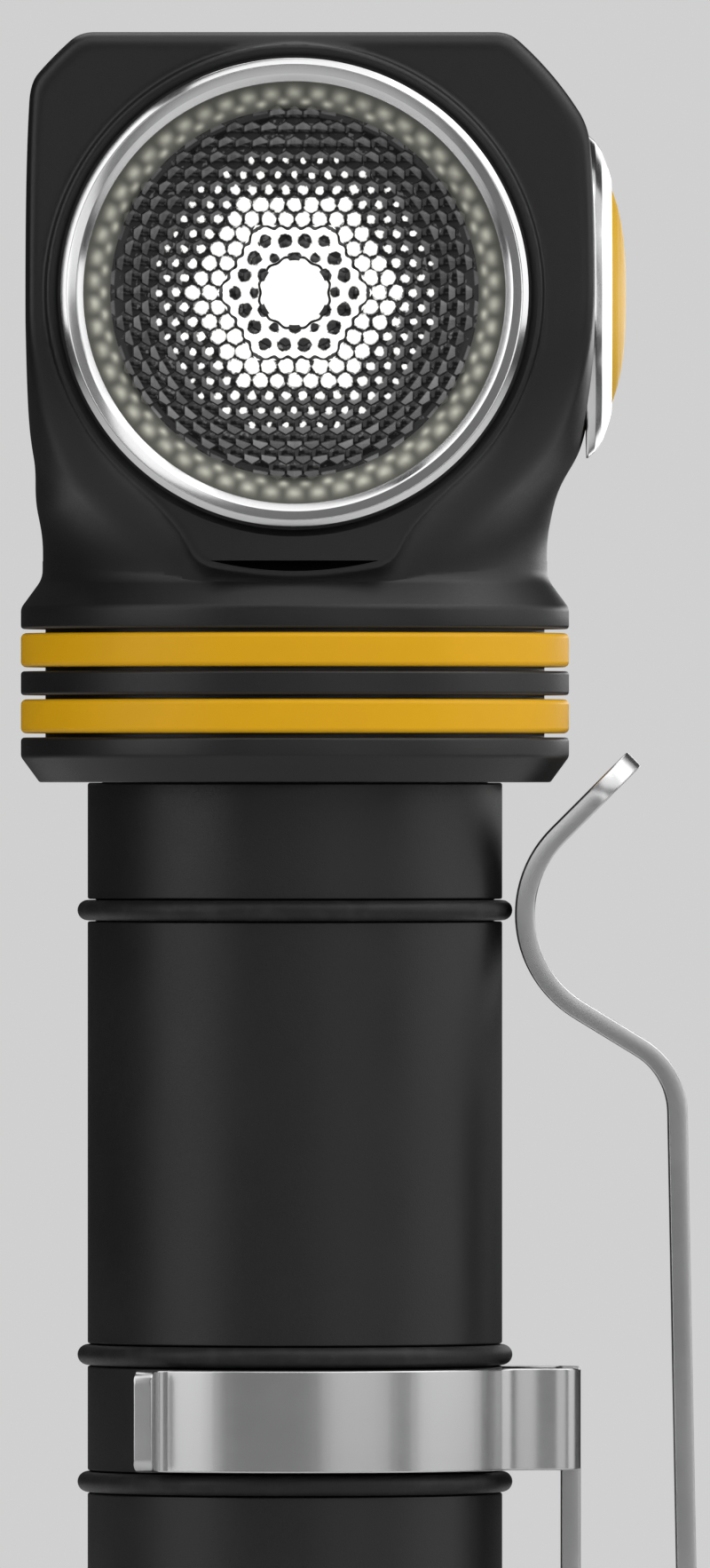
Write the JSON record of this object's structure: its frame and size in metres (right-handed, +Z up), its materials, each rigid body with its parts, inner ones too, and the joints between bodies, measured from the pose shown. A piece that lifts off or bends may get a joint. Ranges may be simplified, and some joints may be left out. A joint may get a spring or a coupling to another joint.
{
  "type": "right-angle flashlight",
  "caption": "Right-angle pocket flashlight with a side-facing round lens, a side button, a ribbed collar and a spring clip.",
  "frame": {"origin": "centre of the flat tail face, on the tube axis", "axes": "+Z up the tube to the head, the lens faces -Y, the button and the clip are on +X"},
  "size_m": [0.0401, 0.0324, 0.11],
  "materials": {
    "black_anodised": "fine matt black anodising",
    "steel_trim": "polished steel",
    "spring_steel": "satin spring steel",
    "accent_yellow": "satin yellow",
    "button_yellow": "satin yellow",
    "black_rubber": "matt",
    "seal_rubber": "greased",
    "clear_optic": "clear moulded optic with a honeycomb face",
    "white_plastic": "matt white",
    "led_phosphor": "phosphor under a clear dome",
    "white_board": "white solder mask",
    "green_board": "green solder mask",
    "chip_black": "moulded black",
    "brass": "machined",
    "gold_spring": "gold plated",
    "nickel": "nickel plated",
    "cell_wrap": "shrink film",
    "lead_insulation": "silicone insulation"
  },
  "bodies": {
    "torch": {"head_housing": "black_anodised", "bezel_ring": "steel_trim", "optic_seal": "black_rubber", "tir_optic": "clear_optic", "optic_holder": "white_plastic", "led_emitter": "led_phosphor", "led_board": "white_board", "board_screws": "nickel", "led_leads": "lead_insulation", "driver_board": "green_board", "driver_components": "chip_black", "driver_retainer": "brass", "front_contact": "brass", "switch_board": "green_board", "switch_leads": "lead_insulation", "tact_switch": "nickel", "button_gasket": "black_rubber", "button_plate": "steel_trim", "upper_accent_ring": "accent_yellow", "lower_accent_ring": "accent_yellow", "battery_tube": "black_anodised", "head_seal": "seal_rubber", "tail_seal": "seal_rubber", "upper_grip_ring": "black_rubber", "middle_grip_ring": "black_rubber", "lower_grip_ring": "black_rubber", "battery_cell": "cell_wrap", "battery_button": "nickel"},
    "button": {"button_cap": "button_yellow", "switch_plunger": "chip_black"},
    "tail_contact": {"tail_contact_board": "brass", "tail_spring": "gold_spring"},
    "tail_cap_body": {"tail_cap": "black_anodised", "tail_magnet": "nickel", "tail_retainer": "brass"},
    "clip_ring": {"clip_band": "spring_steel"},
    "clip_spring": {"clip_arm": "spring_steel"}
  },
  "joints": [
    {"name": "button_press", "type": "slide", "parent": "torch", "child": "button", "axis": [-1, 0, 0], "range_m": [0, 0.0004], "stiffness_N_per_m": 2000, "springref_m": -0.0006},
    {"name": "tail_cap_travel", "type": "slide", "parent": "torch", "child": "tail_contact", "axis": [0, 0, -1], "range_m": [0, 0.005]},
    {"name": "tail_cap_turn", "type": "hinge", "parent": "tail_contact", "child": "tail_cap_body", "pos_m": [0, 0, 0], "axis": [0, 0, 1], "range_deg": [0, 1800]},
    {"name": "clip_swivel", "type": "hinge", "parent": "torch", "child": "clip_ring", "pos_m": [0, 0, 0.02845], "axis": [0, 0, 1], "continuous": true},
    {"name": "clip_flex", "type": "hinge", "parent": "clip_ring", "child": "clip_spring", "pos_m": [0.0198, 0, 0.00592], "axis": [0, 1, 0], "range_deg": [0, 6], "stiffness_Nm_per_rad": 4}
  ],
  "couplings": [
    {"joint": "tail_cap_travel", "follows": "tail_cap_turn", "m_per_rad": 0.00015915}
  ]
}
